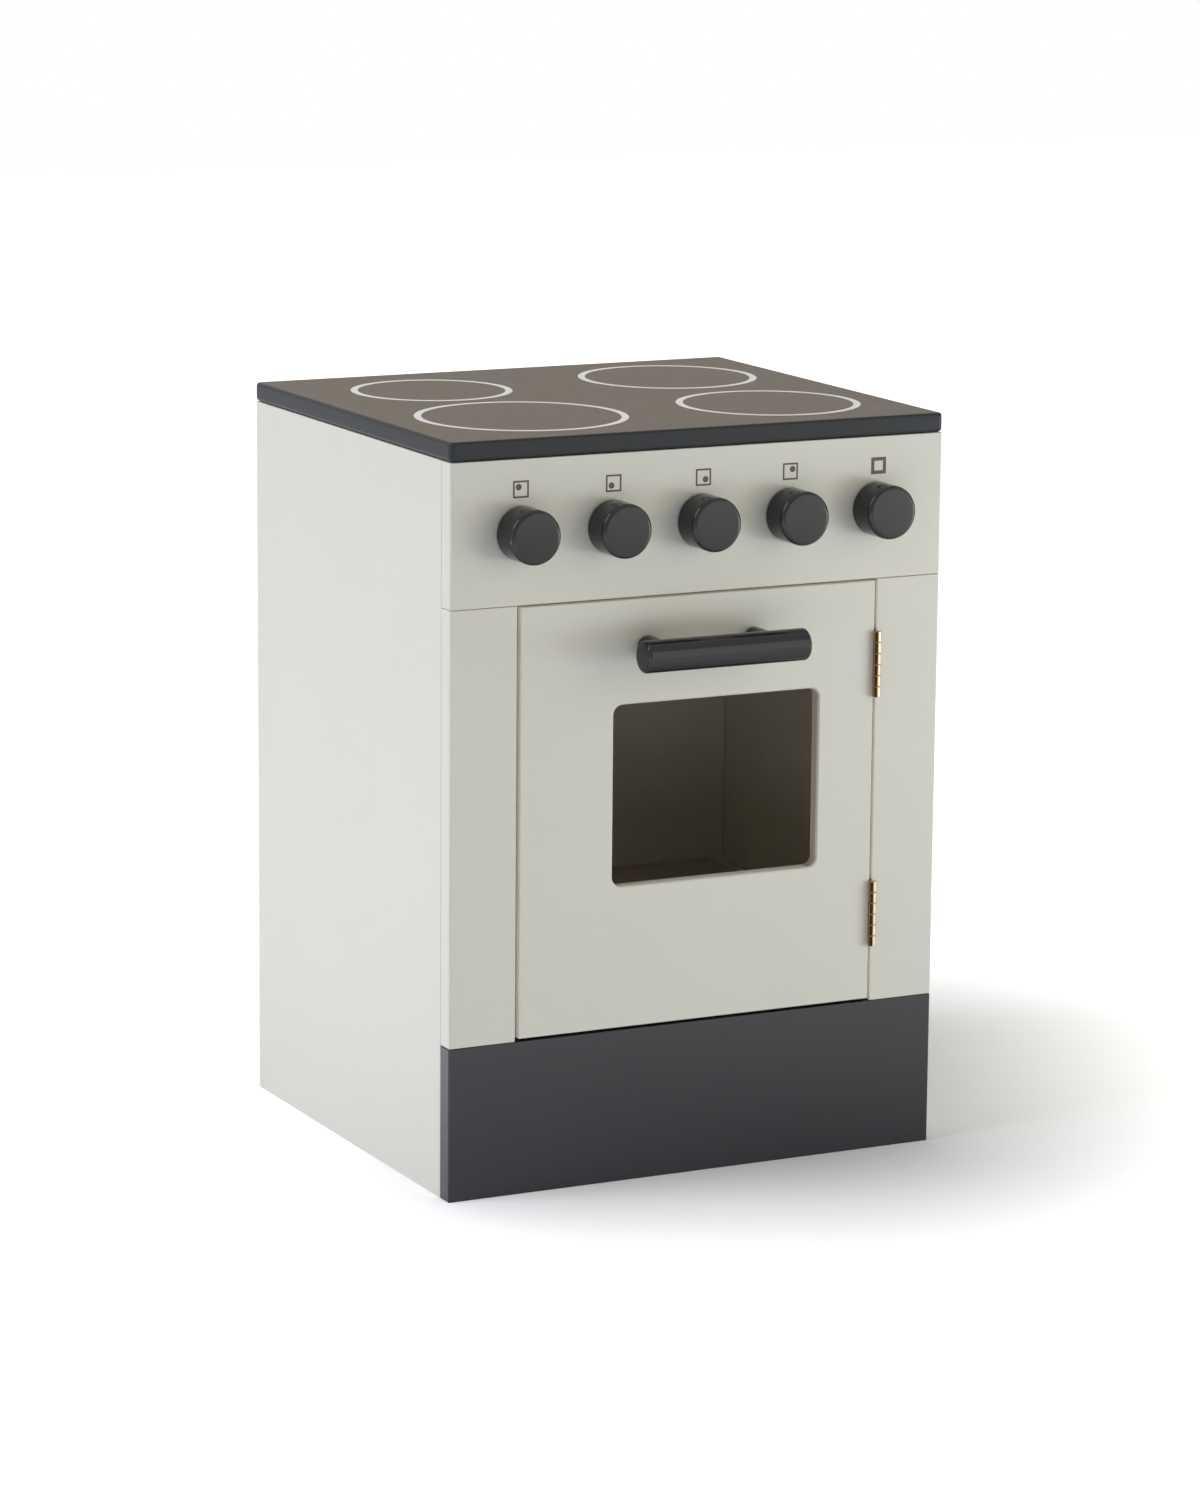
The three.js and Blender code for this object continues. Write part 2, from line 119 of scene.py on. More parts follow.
# Handle: its bar, its posts, their sockets in the bar, and the door's holes for its screws
BAR_RIM = 2.0 * MM
POST_EASE = 0.5 * MM
SOCKET_CLEARANCE = 0.1 * MM
SOCKET_OVERCUT = 5 * MM
HANDLE_HOLE = 2.2 * MM

# Hinges: knuckles, pin, leaves by their distance sideways from the pin's axis, webs between leaf
# and knuckle from so far behind the axis, and the pocket that a board has for a leaf
KNUCKLES = 6
KNUCKLE_RADIUS = 2.1 * MM
KNUCKLE_BORE = 1.1 * MM
KNUCKLE_GAP = 0.3 * MM
KNUCKLE_EASE = 0.25 * MM
PIN_RADIUS = 0.95 * MM
PIN_EASE = 0.3 * MM
LEAF_INNER = 0.25 * MM
LEAF_OUTER = 0.95 * MM
LEAF_EDGE = 0.12 * MM
LEAF_SETBACK = 0.3 * MM
WEB_START = 1.375 * MM
WEB_OVERLAP = 0.2 * MM
WEB_EDGE = 0.05 * MM
POCKET_DEPTH = 1.25 * MM
POCKET_CLEARANCE = 0.2 * MM
POCKET_OVERCUT = 1 * MM

# The leaves of a hinge: the side of the pin on which each lies (1 is the right), the number of its
# lowest knuckle, and its body
LEAVES = {"frame": (1, 1, CABINET), "door": (-1, 0, DOOR)}

# Screws by head radius, shank radius and length. The handle's have pan heads, the rest are sunk.
LEAF_SCREW = (1.9 * MM, 0.8 * MM, 9 * MM)
STRIKE_SCREW = (2.4 * MM, 1.1 * MM, 7 * MM)
HANDLE_SCREW = (4 * MM, 2 * MM, 26 * MM)
HANDLE_HEAD_HEIGHT = 2.6 * MM
HEAD_BEVEL = 0.08 * MM
HEAD_RIM = 0.12 * MM

# The seat of a leaf's screw: the room round the screw, and how far it reaches in and out
SEAT_CLEARANCE = 0.12 * MM
SEAT_DEPTH = 8 * MM
SEAT_OVERCUT = 0.3 * MM

# Cross recess: its width by the head's radius, and its bars' thickness and lower end by that width
RECESS_WIDTH = 1.05
RECESS_SLOT = 0.24
RECESS_TAPER = 0.55

# Catch: magnet, the bore that it sits in, and strike plate with its countersink
MAGNET_EASE = 0.4 * MM
MAGNET_CLEARANCE = 0.2 * MM
STRIKE_EASE = 0.25 * MM
STRIKE_SINK = 2.6 * MM
STRIKE_SINK_FLOOR = 1.2 * MM
STRIKE_SINK_DEPTH = 1.1 * MM

# The cosine from which a face counts as looking one way, for a board's faces and for a flat top
SQUARE_ON = 0.8
LEVEL = 0.98

# Smooth shading: edges sharper than this stay sharp, and large faces lead with this weight
SHARP_ANGLE = math.radians(40.0)
FACE_WEIGHT = 80


# Materials


# Noise scales in features per metre, bumps as a strength and a depth, and spreads of roughness
PAINT_PATCHES = 90.0
PAINT_GRAIN = 160.0
PAINT_PEEL = 900.0
GRAIN_STRETCH = (1.0, 1.0, 0.35)
GRAIN_BUMP = (0.18, 0.25 * MM)
PEEL_BUMP = (0.25, 0.06 * MM)
GLOSS_SPREAD = 0.02
COAT_ROUGHNESS = 0.13
INK_COVER = 1400.0
INK_GRAIN = 500.0
INK_BUMP = (0.15, 0.03 * MM)
INK_SPREAD = 0.05
BRUSH_BUMP = (0.12, 0.03 * MM)
BRUSH_SPREAD = (-0.06, 0.08)
WOOD_GRAIN = 60.0
WOOD_STRETCH = (3.0, 0.2, 3.0)
WOOD_BUMP = (0.3, 0.2 * MM)

# Most of a noise's values lie between the first two, and print covers fully from the third
NOISE_LOW = 0.3
NOISE_HIGH = 0.7
INK_FULL = 0.65

# The brass has a painted dark reflection on the faces that look this way, where the metal is not
# tarnished: it starts at the first cosine between the two directions, and is full from the second
DARK_REFLECTION_SIDE = (-0.75, -0.66, 0.0)
DARK_REFLECTION_START = 0.8
DARK_REFLECTION_FULL = 0.92


def node_material(name):
    material = bpy.data.materials.new(name)
    material.use_nodes = True
    tree = material.node_tree
    shader = tree.nodes["Principled BSDF"]
    return material, tree, shader


def noise(tree, scale, detail=3.0, roughness=0.5, stretch=None):
    """Noise in object coordinates, in features per metre."""
    where = tree.nodes.new("ShaderNodeTexCoord")
    texture = tree.nodes.new("ShaderNodeTexNoise")
    texture.inputs["Scale"].default_value = scale
    texture.inputs["Detail"].default_value = detail
    texture.inputs["Roughness"].default_value = roughness
    source = where.outputs["Object"]
    if stretch:
        mapping = tree.nodes.new("ShaderNodeMapping")
        mapping.inputs["Scale"].default_value = stretch
        tree.links.new(source, mapping.inputs["Vector"])
        source = mapping.outputs["Vector"]
    tree.links.new(source, texture.inputs["Vector"])
    return texture.outputs["Fac"]


def ramp(tree, factor, stops):
    """A colour by a factor, from (position, colour) stops."""
    node = tree.nodes.new("ShaderNodeValToRGB")
    elements = node.color_ramp.elements
    while len(elements) < len(stops):
        elements.new(0.5)
    for element, (position, colour) in zip(elements, stops):
        element.position = position
        element.color = (*colour, 1.0)
    tree.links.new(factor, node.inputs["Fac"])
    return node.outputs["Color"]


def two_tone(tree, factor, dark, light, top=NOISE_HIGH):
    return ramp(tree, factor, [(NOISE_LOW, dark), (top, light)])


def remap(tree, factor, low, high, from_low=NOISE_LOW, from_high=NOISE_HIGH):
    """A value from low to high as the factor goes over its own range."""
    node = tree.nodes.new("ShaderNodeMapRange")
    node.inputs["From Min"].default_value = from_low
    node.inputs["From Max"].default_value = from_high
    node.inputs["To Min"].default_value = low
    node.inputs["To Max"].default_value = high
    tree.links.new(factor, node.inputs["Value"])
    return node.outputs["Result"]


def bumps(tree, shader, layers):
    """Chains bump nodes: each layer is a height, a strength and a depth."""
    normal = None
    for height, strength, depth in layers:
        node = tree.nodes.new("ShaderNodeBump")
        node.inputs["Strength"].default_value = strength
        node.inputs["Distance"].default_value = depth
        tree.links.new(height, node.inputs["Height"])
        if normal is not None:
            tree.links.new(normal, node.inputs["Normal"])
        normal = node.outputs["Normal"]
    tree.links.new(normal, shader.inputs["Normal"])


def linear(red, green, blue):
    """An 8-bit display colour as the linear one that shaders take."""
    def one(value):
        value /= 255.0
        return value / 12.92 if value <= 0.04045 else ((value + 0.055) / 1.055) ** 2.4
    return one(red), one(green), one(blue)


def shade(colour, factor):
    return tuple(channel * factor for channel in colour)


def painted(name, colour, variation, roughness, peel, specular=0.5, mottle=14.0, coat=0.0):
    """Sprayed satin paint on smooth board: faint mottling, orange peel and long grain below."""
    material, tree, shader = node_material(name)
    cloud = noise(tree, mottle, detail=4.0, roughness=0.6)
    light, dark = shade(colour, 1.0 + variation), shade(colour, 1.0 - variation)
    tree.links.new(two_tone(tree, cloud, dark, light), shader.inputs["Base Color"])
    patches = noise(tree, PAINT_PATCHES)
    gloss = remap(tree, patches, roughness - GLOSS_SPREAD, roughness + GLOSS_SPREAD)
    tree.links.new(gloss, shader.inputs["Roughness"])
    shader.inputs["Specular IOR Level"].default_value = specular
    shader.inputs["Coat Weight"].default_value = coat
    shader.inputs["Coat Roughness"].default_value = COAT_ROUGHNESS
    fine = noise(tree, PAINT_PEEL, detail=2.0)
    coarse = noise(tree, PAINT_GRAIN, stretch=GRAIN_STRETCH)
    layers = [(coarse, *GRAIN_BUMP), (fine, *PEEL_BUMP)]
    bumps(tree, shader, [(height, strength * peel, depth) for height, strength, depth in layers])
    return material


def printed(name, colour, roughness):
    """Screen print: thin ink with a slightly uneven cover."""
    material, tree, shader = node_material(name)
    cover = noise(tree, INK_COVER, detail=2.0)
    thin, full = shade(colour, 0.9), shade(colour, 1.03)
    tree.links.new(two_tone(tree, cover, thin, full, top=INK_FULL), shader.inputs["Base Color"])
    grain = noise(tree, INK_GRAIN, detail=2.0)
    gloss = remap(tree, grain, roughness - INK_SPREAD, roughness + INK_SPREAD)
    tree.links.new(gloss, shader.inputs["Roughness"])
    bumps(tree, shader, [(cover, *INK_BUMP)])
    return material


def facing(tree, way, low, high):
    """From 0 to 1 as the surface turns to face a direction of the object."""
    where = tree.nodes.new("ShaderNodeTexCoord")
    match = tree.nodes.new("ShaderNodeVectorMath")
    match.operation = "DOT_PRODUCT"
    match.inputs[1].default_value = way
    tree.links.new(where.outputs["Normal"], match.inputs[0])
    return remap(tree, match.outputs["Value"], 0.0, 1.0, low, high)


def metal(name, colour, roughness, brush, stretch=None, dark_reflection=None):
    """Plated metal with fine draw lines, and maybe a painted dark reflection on one side."""
    material, tree, shader = node_material(name)
    lines = noise(tree, brush, detail=4.0, roughness=0.7, stretch=stretch)
    dull, bright = shade(colour, 0.86), shade(colour, 1.06)
    tone = two_tone(tree, lines, dull, bright)
    # A painted dark reflection, blended in on the faces that look one way
    if dark_reflection:
        blend = tree.nodes.new("ShaderNodeMix")
        blend.data_type = "RGBA"
        cover = facing(tree, DARK_REFLECTION_SIDE, DARK_REFLECTION_START, DARK_REFLECTION_FULL)
        tree.links.new(cover, blend.inputs["Factor"])
        tree.links.new(tone, blend.inputs["A"])
        dark, light = shade(dark_reflection, 0.7), shade(dark_reflection, 1.3)
        tree.links.new(two_tone(tree, lines, dark, light), blend.inputs["B"])
        tone = blend.outputs["Result"]
    tree.links.new(tone, shader.inputs["Base Color"])
    gloss = remap(tree, lines, *(roughness + change for change in BRUSH_SPREAD))
    tree.links.new(gloss, shader.inputs["Roughness"])
    shader.inputs["Metallic"].default_value = 1.0
    bumps(tree, shader, [(lines, *BRUSH_BUMP)])
    return material


def softwood(name):
    """Bare planed softwood: stretched grain bands with a finer figure."""
    material, tree, shader = node_material(name)
    grain = noise(tree, WOOD_GRAIN, detail=5.0, roughness=0.65, stretch=WOOD_STRETCH)
    pale, mid, dark = linear(224, 196, 150), linear(210, 176, 124), linear(182, 143, 92)
    stops = [(NOISE_LOW, dark), (0.5, mid), (0.66, pale)]
    tree.links.new(ramp(tree, grain, stops), shader.inputs["Base Color"])
    tree.links.new(remap(tree, grain, 0.62, 0.5), shader.inputs["Roughness"])
    bumps(tree, shader, [(grain, *WOOD_BUMP)])
    return material


def lacquered(name, colour, peel, specular, coat):
    """A smooth dark paint that shines by its coat."""
    variation, roughness, mottle = 0.008, 0.25, 8.0
    return painted(name, colour, variation, roughness, peel, specular, mottle, coat)


# Paints by name, colour, variation of the tone, roughness and strength of the orange peel
PALE = painted("pale_paint", linear(213, 211, 199), 0.008, 0.42, 0.35)
INNER = painted("inner_paint", linear(218, 211, 195), 0.012, 0.5, 0.4)
SHELF_PAINT = painted("shelf_paint", linear(188, 178, 162), 0.012, 0.5, 0.4)
REVEAL = painted("reveal_paint", linear(205, 190, 165), 0.015, 0.5, 0.5)
# Faces in the door's gaps: lighter than the pale paint, partly the edge's own tone and partly
# painted light in those shaded gaps
LIT_BOARD_EDGE = painted("lit_board_edge", linear(252, 246, 232), 0.015, 0.55, 0.4)
# The hob's flat top: lighter and warmer than its rim, a painted sheen of light at a low angle
HOB_TOP_SHEEN = painted("hob_top_painted_sheen", linear(109, 98, 82), 0.01, 0.42, 0.2, specular=0.03, mottle=6.0)

# Dark paints by name, colour, strength of the orange peel, specular level and weight of the coat
DARK = lacquered("dark_paint", linear(52, 52, 56), 0.02, 0.1, 0.45)
# Knobs, bar and posts: the dark paint again with a darker base, painted shade, and its own peel,
# specular level and coat
TURNED_SHADED = lacquered("turned_paint_shaded", linear(31, 32, 35), 0.08, 0.05, 0.5)
HOB_RIM = lacquered("hob_rim_paint", linear(54, 57, 60), 0.08, 0.03, 0.15)

RING_PRINT = printed("ring_print", linear(240, 238, 234), roughness=0.45)
ICON_PRINT = printed("icon_print", linear(66, 55, 55), roughness=0.5)
ZINC = metal("zinc_plate", linear(186, 188, 192), roughness=0.32, brush=700.0)
NICKEL = metal("nickel_plate", linear(205, 203, 198), roughness=0.2, brush=500.0)
# Hinge brass: its darker colour is a painted dark reflection on the barrels' front-left side
BRASS = metal(
    "hinge_brass",
    linear(188, 168, 138),
    roughness=0.34,
    brush=500.0,
    stretch=(1.0, 1.0, 0.1),
    dark_reflection=linear(52, 34, 18),
)
BARE_WOOD = softwood("bare_wood")


# Mesh helpers


def linked(name, data):
    """A new object of the scene."""
    made = bpy.data.objects.new(name, data)
    bpy.context.scene.collection.objects.link(made)
    return made


def piece(name, mesh, body, material, nodes=()):
    """Puts a finished mesh in the scene, on its body and in place of its CAD nodes."""
    made = linked(name, mesh)
    mesh.materials.clear()
    mesh.materials.append(material)
    for face in mesh.polygons:
        face.use_smooth = True
    mesh.set_sharp_from_angle(angle=SHARP_ANGLE)
    weighted = made.modifiers.new("face_weighted_normals", "WEIGHTED_NORMAL")
    weighted.keep_sharp = True
    weighted.weight = FACE_WEIGHT
    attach(made, body)
    if nodes:
        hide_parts(*nodes)
    return made


def repaint(made, material, chosen):
    """Gives the faces whose middle and normal pass the test a material of their own."""
    made.data.materials.append(material)
    last = len(made.data.materials) - 1
    for face in made.data.polygons:
        if chosen(face.center, face.normal):
            face.material_index = last


def mesh_of(bm):
    """The finished mesh, with its faces turned out."""
    bmesh.ops.recalc_face_normals(bm, faces=bm.faces)
    mesh = bpy.data.meshes.new("part")
    bm.to_mesh(mesh)
    bm.free()
    return mesh


def evaluated(mesh, modifiers):
    """The mesh after the given modifiers: each is a type and its settings."""
    temporary = linked("temporary", mesh)
    for kind, settings in modifiers:
        modifier = temporary.modifiers.new(kind, kind)
        for key, value in settings.items():
            setattr(modifier, key, value)
    graph = bpy.context.evaluated_depsgraph_get()
    made = bpy.data.meshes.new_from_object(temporary.evaluated_get(graph), depsgraph=graph)
    bpy.data.objects.remove(temporary)
    return made


def rounded(mesh, width, segments=4):
    """Bevels the edges by their weights, where a weight of 1 is the given width."""
    settings = {
        "width": width,
        "segments": segments,
        "limit_method": "WEIGHT",
        "offset_type": "OFFSET",
        "use_clamp_overlap": False,
    }
    return evaluated(mesh, [("BEVEL", settings)])


def carved(mesh, cutters):
    """The mesh less each cutter's mesh. No cutter may cross itself."""
    holders = [linked("cutter", cutter) for cutter in cutters]
    how = {"operation": "DIFFERENCE", "solver": "EXACT"}
    made = evaluated(mesh, [("BOOLEAN", {"object": holder, **how}) for holder in holders])
    for holder in holders:
        bpy.data.objects.remove(holder)
    return made


def plain_box(low, high):
    """A box between two corners, as a mesh that is still being made."""
    bm = bmesh.new()
    bmesh.ops.create_cube(bm, size=1.0)
    size, middle = high - low, (high + low) / 2
    for vertex in bm.verts:
        vertex.co = Vector(a * b for a, b in zip(vertex.co, size)) + middle
    return bm


def block(low, high, edge=EASED_EDGE, special=()):
    """A board with eased edges. A special is a test of an edge's middle and way, and a radius."""
    low, high = Vector(low), Vector(high)
    middle = (high + low) / 2
    bm = plain_box(low, high)
    weight = bm.edges.layers.float.new("bevel_weight_edge")
    widest = max([edge] + [radius for test, radius in special])
    for line in bm.edges:
        centre = (line.verts[0].co + line.verts[1].co) / 2 - middle
        way = line.verts[1].co - line.verts[0].co
        radius = edge
        for test, its_radius in special:
            if test(centre, way):
                radius = its_radius
        line[weight] = radius / widest
    return rounded(mesh_of(bm), widest)


def circle(radius, height, facets):
    """Points round +Z at a height."""
    angles = [2 * math.pi * step / facets for step in range(facets)]
    return [(radius * math.cos(angle), radius * math.sin(angle), height) for angle in angles]


def turned(profile, facets=TURNED_FACETS):
    """A solid turned about +Z from (radius, height) points that start and end on the axis."""
    bm = bmesh.new()
    rings = []
    for radius, height in profile:
        points = circle(radius, height, facets) if radius else [(0.0, 0.0, height)]
        rings.append([bm.verts.new(point) for point in points])
    for lower, upper in zip(rings, rings[1:]):
        for step in range(facets):
            after = (step + 1) % facets
            if len(lower) == 1:
                bm.faces.new((lower[0], upper[after], upper[step]))
            elif len(upper) == 1:
                bm.faces.new((lower[step], lower[after], upper[0]))
            else:
                bm.faces.new((lower[step], lower[after], upper[after], upper[step]))
    return mesh_of(bm)


def tube(profile, facets):
    """A ring about +Z from a closed (radius, height) outline that stays off the axis."""
    bm = bmesh.new()
    rings = []
    for radius, height in profile:
        rings.append([bm.verts.new(point) for point in circle(radius, height, facets)])
    for lower, upper in zip(rings, rings[1:] + rings[:1]):
        for step in range(facets):
            after = (step + 1) % facets
            bm.faces.new((lower[step], lower[after], upper[after], upper[step]))
    return mesh_of(bm)


def rod(radius, start, end, facets=SMALL_FACETS):
    """A plain cylinder on +Z."""
    return turned([(0, start), (radius, start), (radius, end), (0, end)], facets)


def fillet(radius, height, size, start, steps=6):
    """Quarter circle points about a centre, by the angle in quarter turns at which it starts."""
    points = []
    for step in range(steps + 1):
        angle = (start + step / steps) * math.pi / 2
        points.append((radius + size * math.cos(angle), height + size * math.sin(angle)))
    return points


def pierced_plate(bm, outline, hole, front, back):
    """Adds a plate with a hole, from two loops of as many (x, z) points, and returns its loops."""
    loops = {}
    for key, points in (("hole", hole), ("outline", outline)):
        for level in (front, back):
            loops[key, level] = [bm.verts.new((x, level, z)) for x, z in points]
    count = len(hole)
    for side in range(count):
        after = (side + 1) % count
        for first, second in (
            (("outline", front), ("hole", front)),
            (("hole", back), ("outline", back)),
            (("outline", back), ("outline", front)),
            (("hole", front), ("hole", back)),
        ):
            one, two = loops[first], loops[second]
            bm.faces.new((one[side], one[after], two[after], two[side]))
    return loops


def moved(mesh, place, turn=Matrix.Identity(4)):
    mesh.transform(Matrix.Translation(place) @ turn)
    return mesh


# Turns of a piece that was made along +Z
TO_FRONT = Matrix.Rotation(math.pi / 2, 4, "X")
TO_BACK = Matrix.Rotation(-math.pi / 2, 4, "X")
TO_RIGHT = Matrix.Rotation(math.pi / 2, 4, "Y")
TO_LEFT = Matrix.Rotation(-math.pi / 2, 4, "Y")


def middle_of(node):
    low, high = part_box(node)
    return (low + high) / 2


# Body


def upright(centre, way):
    """Whether an edge runs up, as a special of a block."""
    return abs(way.z) > max(abs(way.x), abs(way.y))


def corner(depth, side):
    """The upright edge at the front (-1) or back (1) of the left (-1), right (1) or both (0)."""
    def test(centre, way):
        beside = side == 0 or centre.x * side > 0
        return upright(centre, way) and centre.y * depth > 0 and beside
    return test, CORNER_EDGE


# Boards by name, node, paint and corners that are more rounded
BOARDS = [
    ("side_board_left", "side_panel_left", PALE, [corner(1, -1)]),
    ("side_board_right", "side_panel_right", PALE, [corner(1, 1)]),
    ("rear_board", "back_panel", PALE, []),
    ("cavity_floor", "oven_floor", INNER, []),
    ("cavity_ceiling", "oven_ceiling", INNER, []),
    ("control_board", "control_panel", PALE, [corner(-1, 0)]),
    ("plinth_face", "plinth_board", DARK, [corner(-1, 0)]),
    ("stile_left", "front_stile_left", PALE, [corner(-1, -1)]),
    ("runner_left", "shelf_batten_left", INNER, []),
    ("runner_right", "shelf_batten_right", INNER, []),
    ("shelf_board", "oven_shelf", SHELF_PAINT, []),
    ("stile_right", "front_stile_right", PALE, [corner(-1, 1)]),
]

# The face of a board that looks into the oven or into the gap round the door, and its paint. In
# the gap that paint is lighter than the front's: partly the edge's own tone, partly painted light.
INNER_FACES = {
    "side_panel_left": ((1, 0, 0), INNER),
    "side_panel_right": ((-1, 0, 0), INNER),
    "back_panel": ((0, -1, 0), INNER),
    "front_stile_left": ((1, 0, 0), LIT_BOARD_EDGE),
    "front_stile_right": ((-1, 0, 0), LIT_BOARD_EDGE),
    "control_panel": ((0, 0, -1), LIT_BOARD_EDGE),
}


def spindle_hole(index):
    hole = rod(SPINDLE_HOLE, -DRILL_REACH, DRILL_REACH)
    return moved(hole, middle_of(f"knob_{index}_washer"), TO_FRONT)


def body_boards():
    cutters = {
        "control_panel": [spindle_hole(index) for index in KNOBS],
        "front_stile_right": [hinge_pocket(which, "frame") for which in HINGES],
    }
    for name, node, material, special in BOARDS:
        mesh = block(*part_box(node), EASED_EDGE, special)
        if node in cutters:
            mesh = carved(mesh, cutters[node])
        made = piece(name, mesh, CABINET, material, [node])
        if node in INNER_FACES:
            way, paint = INNER_FACES[node]
            repaint(made, paint, lambda centre, normal: normal.dot(Vector(way)) > SQUARE_ON)


def hob():
    low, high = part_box("hob_top")
    top = high - Vector((0, 0, PRINT_HEIGHT))
    mesh = block(low, top, HOB_EDGE, [(upright, HOB_CORNER)])
    slab = piece("hob_slab", mesh, CABINET, HOB_RIM, ["hob_top"])
    # The flat top takes the lighter paint, a painted sheen
    repaint(slab, HOB_TOP_SHEEN, lambda centre, normal: normal.z > LEVEL)
    below = top.z - PRINT_HEIGHT
    for name, x, y, radius in RINGS:
        outer = radius * MM
        inner = outer - RING_WIDTH
        outline = [(inner, below), (outer, below), (outer, high.z), (inner, high.z)]
        mesh = moved(tube(outline, RING_FACETS), (x * MM, FRONT + y * MM, 0))
        piece(f"hob_ring_{name}", mesh, CABINET, RING_PRINT)


def square(half):
    return [(-half, -half), (half, -half), (half, half), (-half, half)]


def icons():
    half = ICON_SIZE / 2
    for index, shift, dot in zip(KNOBS, ICON_SHIFTS, ICON_DOTS):
        line = ICON_LINE if dot else ICON_HEAVY_LINE
        bm = bmesh.new()
        pierced_plate(bm, square(half), square(half - line), -PRINT_HEIGHT, PRINT_HEIGHT)
        if dot:
            spot = rod(ICON_DOT, -PRINT_HEIGHT, PRINT_HEIGHT, DOT_FACETS)
            bm.from_mesh(moved(spot, (dot[0] * half, 0, dot[1] * half), TO_FRONT))
        knob = middle_of(f"knob_{index}")
        mesh = moved(mesh_of(bm), (knob.x + shift, FRONT, knob.z + ICON_RISE))
        piece(f"icon_{index}", mesh, CABINET, ICON_PRINT)


# Screws


def cross_recess(head, depth, height):
    """Two crossed bars that a driver would fit, each a mesh, down to a depth below a height."""
    width = head * RECESS_WIDTH
    bars = []
    for turn in (0, math.pi / 2):
        bm = bmesh.new()
        bmesh.ops.create_cube(bm, size=1.0)
        for vertex in bm.verts:
            taper = 1.0 if vertex.co.z > 0 else RECESS_TAPER
            x = vertex.co.x * width * taper
            y = vertex.co.y * width * RECESS_SLOT
            vertex.co = Vector((x, y, vertex.co.z * depth * 2))
        bars.append(moved(mesh_of(bm), (0, 0, height), Matrix.Rotation(turn, 4, "Z")))
    return bars


def screw_point(shank, length, blunt, taper):
    """The first points of a screw's outline, from its blunt tip up to its full width."""
    return [(0, -length), (shank * blunt, shank - length), (shank, taper * shank - length)]


def sunk_screw(head, shank, length):
    """Countersunk screw with its head's face at z = 0."""
    profile = [
        *screw_point(shank, length, blunt=0.35, taper=3),
        (shank, shank - head),
        (head, -HEAD_RIM),
        (head - HEAD_BEVEL, 0),
        (0, 0),
    ]
    depth = head * 0.45
    return carved(turned(profile, SMALL_FACETS), cross_recess(head, depth, 0.0))


def pan_screw(head, shank, length, height):
    """Pan head screw that seats at z = 0, with a low rim, a round shoulder and a flat top."""
    rim, shoulder, flat = height * 0.35, height * 0.6, head * 0.35
    profile = [
        *screw_point(shank, length, blunt=0.3, taper=2.5),
        (shank, 0),
        (head, 0),
        *fillet(head - shoulder, rim, shoulder, 0),
        (flat, height),
        (0, height),
    ]
    depth = height * 0.55
    return carved(turned(profile, SMALL_FACETS), cross_recess(head, depth, height))


def screw_seat(node, side):
    """The countersink and hole that a leaf's screw needs."""
    head, shank, _ = LEAF_SCREW
    hole, mouth = shank + SEAT_CLEARANCE, head + SEAT_CLEARANCE
    profile = [
        (0, -SEAT_DEPTH),
        (hole, -SEAT_DEPTH),
        (hole, shank - head),
        (mouth, 0),
        (mouth, SEAT_OVERCUT),
        (0, SEAT_OVERCUT),
    ]
    low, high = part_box(node)
    place = (low + high) / 2
    place.x = low.x if side > 0 else high.x
    return moved(turned(profile, SMALL_FACETS), place, TO_LEFT if side > 0 else TO_RIGHT)


# Hinges


def hinge_axis(which):
    """The middle and the length of a hinge's pin."""
    low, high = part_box(f"hinge_{which}_pin")
    return (low + high) / 2, high.z - low.z


def hinge_pocket(which, word):
    """What one leaf needs cut out of the board beside it."""
    low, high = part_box(f"hinge_{which}_{word}_leaf")
    axis = hinge_axis(which)[0]
    left, right = sorted((axis.x, axis.x + LEAVES[word][0] * POCKET_DEPTH))
    first = Vector((left, FRONT - POCKET_OVERCUT, low.z - POCKET_CLEARANCE))
    last = Vector((right, high.y + POCKET_CLEARANCE, high.z + POCKET_CLEARANCE))
    return mesh_of(plain_box(first, last))


def knuckle(axis, bottom, top):
    """One barrel round the pin, with eased ends."""
    flat = KNUCKLE_RADIUS - KNUCKLE_EASE
    outline = [
        (KNUCKLE_BORE, bottom),
        (flat, bottom),
        (KNUCKLE_RADIUS, bottom + KNUCKLE_EASE),
        (KNUCKLE_RADIUS, top - KNUCKLE_EASE),
        (flat, top),
        (KNUCKLE_BORE, top),
    ]
    return moved(tube(outline, SMALL_FACETS), (axis.x, axis.y, 0))


def hinge_leaf(which, word):
    """A leaf's plate, its knuckles and a web from each of them to the plate."""
    axis, length = hinge_axis(which)
    side, lowest, body = LEAVES[word]
    node = f"hinge_{which}_{word}_leaf"
    low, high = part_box(node)
    left, right = sorted((axis.x + side * LEAF_INNER, axis.x + side * LEAF_OUTER))
    front = axis.y + KNUCKLE_RADIUS + LEAF_SETBACK
    bm = bmesh.new()
    bm.from_mesh(block((left, front, low.z), (right, high.y, high.z), LEAF_EDGE))
    pitch = length / KNUCKLES
    for number in range(lowest, KNUCKLES, 2):
        bottom = low.z + number * pitch + KNUCKLE_GAP / 2
        top = bottom + pitch - KNUCKLE_GAP
        bm.from_mesh(knuckle(axis, bottom, top))
        web = ((left, axis.y + WEB_START, bottom), (right, front + WEB_OVERLAP, top))
        bm.from_mesh(block(*web, WEB_EDGE))
    seats = [screw_seat(f"hinge_{which}_{word}_screw_{number}", side) for number in (1, 2)]
    mesh = carved(mesh_of(bm), seats)
    piece(f"hinge_{which}_{word}_wing", mesh, body, BRASS, [node])


